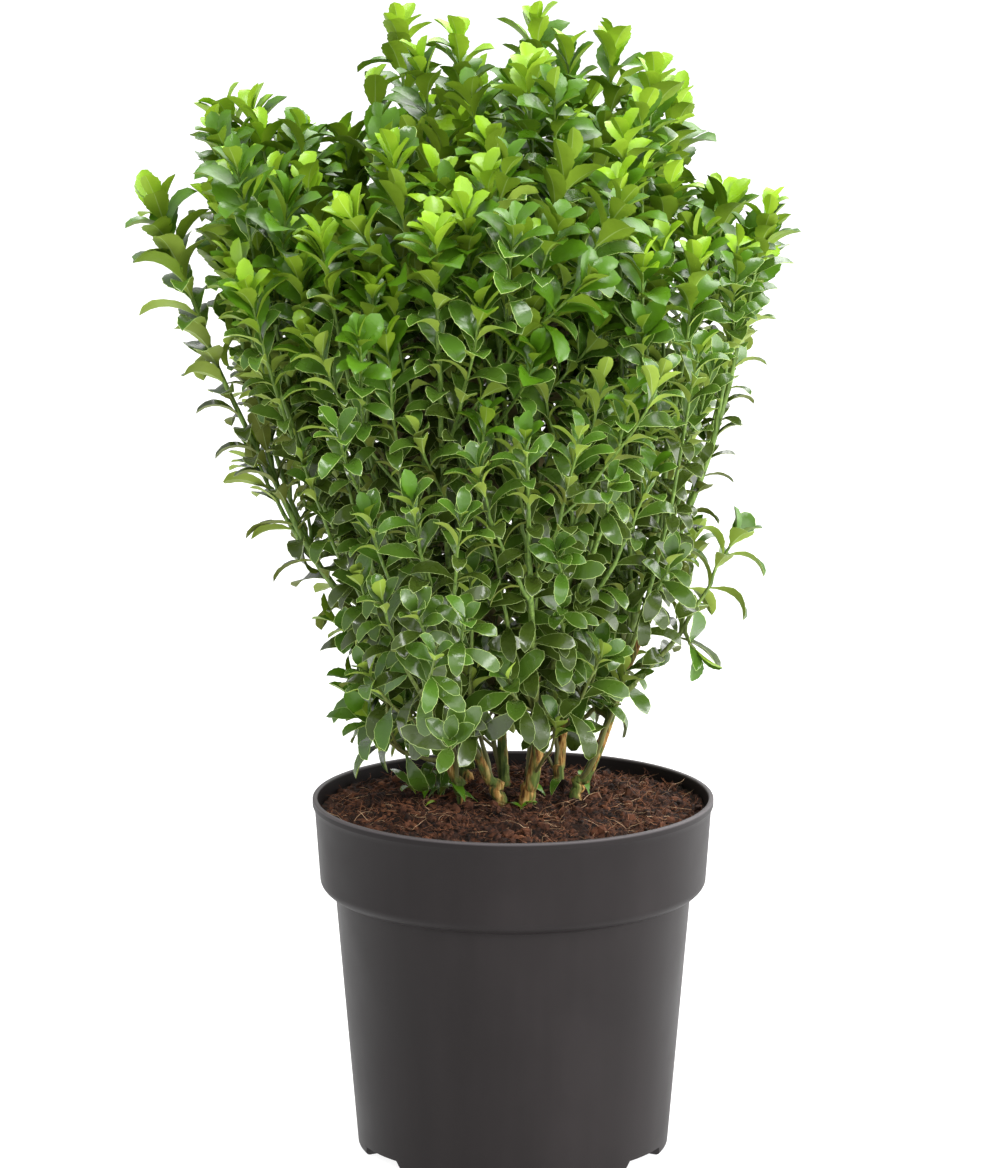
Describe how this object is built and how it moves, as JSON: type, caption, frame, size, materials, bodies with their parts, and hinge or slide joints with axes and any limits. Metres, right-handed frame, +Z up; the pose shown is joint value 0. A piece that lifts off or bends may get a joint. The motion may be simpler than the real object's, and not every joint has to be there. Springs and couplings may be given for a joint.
{
  "type": "potted spindle bush",
  "caption": "Upright evergreen spindle bush in a round nursery pot filled with peat, for standing on a patio, shelf or floor.",
  "frame": {"origin": "centre of the pot's flat underside, on the surface it stands on", "axes": "+Z up along the pot's axis, +Y away from the viewer of the picture, +X to that viewer's right"},
  "size_m": [0.3818, 0.3759, 0.657],
  "materials": {
    "pot_plastic": "satin, fine moulded grain",
    "peat": "damp, coarse and fibrous",
    "bark": "corky, rough",
    "foliage": "glossy above, matt below"
  },
  "bodies": {
    "root": {"pot": "pot_plastic", "peat": "peat", "stem_left": "bark", "stem_front": "bark", "stem_middle": "bark", "stem_main": "bark", "stem_green": "bark", "stem_right": "bark", "stem_back_left": "bark", "stem_back_right": "bark", "bough_left_outer": "bark", "bough_left_lobe_front": "bark", "bough_front_inner": "bark", "bough_front_left": "bark", "bough_inner_left": "bark", "bough_top_back_left": "bark", "bough_front_centre": "bark", "bough_top_middle": "bark", "bough_top_right": "bark", "bough_right_front": "bark", "bough_right_low": "bark", "bough_right_outer": "bark", "bough_back_middle": "bark", "bough_left_lobe_back": "bark", "bough_back_left": "bark", "bough_right_back_outer": "bark", "bough_right_back": "bark", "bough_back_right": "bark", "left_outer": "foliage", "left_lobe_front": "foliage", "left_front": "foliage", "left_low": "foliage", "front_inner": "foliage", "front_left": "foliage", "front_middle": "foliage", "front_low_left": "foliage", "inner_left": "foliage", "top_back_left": "foliage", "top_left": "foliage", "front_centre": "foliage", "top_middle": "foliage", "front_right": "foliage", "front_low_right": "foliage", "right_short": "foliage", "top_right": "foliage", "top_back_right": "foliage", "right_front": "foliage", "right_low": "foliage", "right_outer": "foliage", "right_inner": "foliage", "left_short": "foliage", "back_middle": "foliage", "left_lobe_back": "foliage", "back_left": "foliage", "inner_back_left": "foliage", "right_back_outer": "foliage", "right_back": "foliage", "back_right": "foliage", "top_back": "foliage", "back_low": "foliage"}
  },
  "joints": []
}
